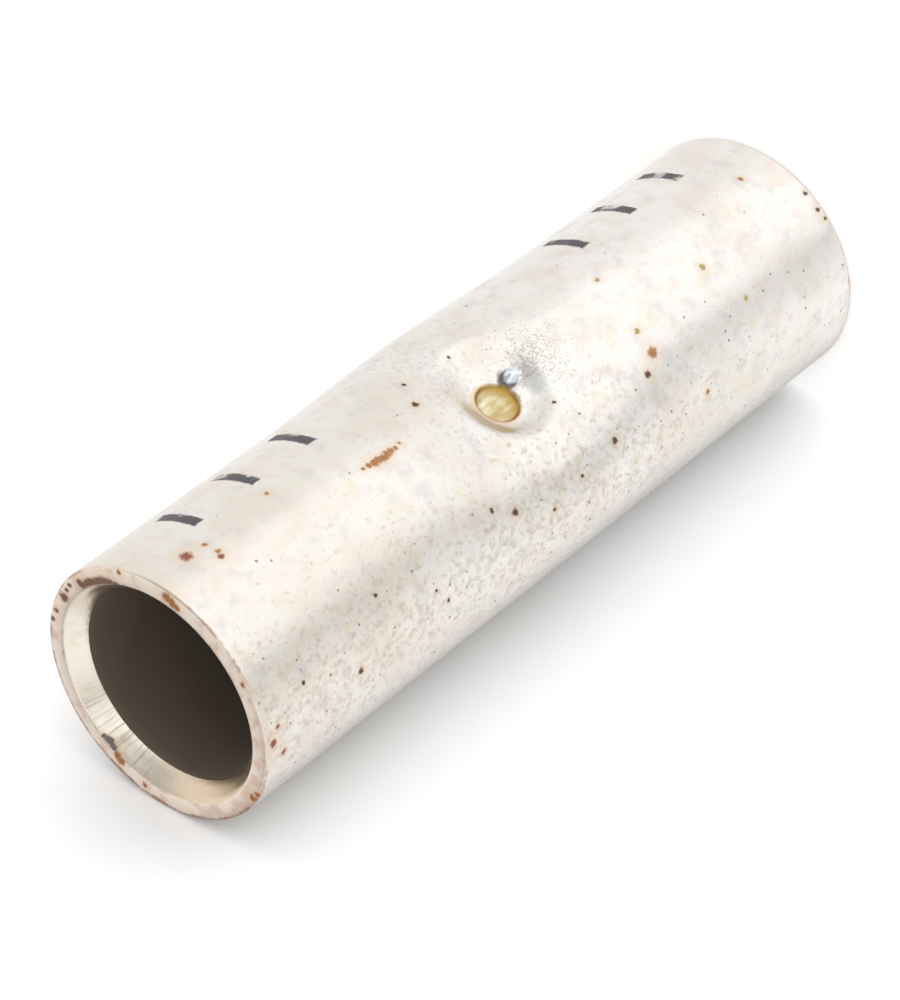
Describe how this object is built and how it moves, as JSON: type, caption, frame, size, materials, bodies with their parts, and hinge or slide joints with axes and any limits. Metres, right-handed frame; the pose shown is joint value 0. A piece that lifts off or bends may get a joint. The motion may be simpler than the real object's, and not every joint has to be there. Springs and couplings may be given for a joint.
{
  "type": "butt splice connector",
  "caption": "Tin-plated copper barrel that joins two stranded conductors end to end, with countersunk mouths and a punched stop in the middle.",
  "frame": {"origin": "centre of the lower end face, on the barrel's axis", "axes": "+Z along the barrel's axis to the upper mouth, -Y towards the side that the stop is punched from"},
  "size_m": [0.021, 0.0204, 0.07],
  "materials": {
    "tinned_copper": null
  },
  "bodies": {
    "root": {"barrel": "tinned_copper"}
  },
  "joints": []
}
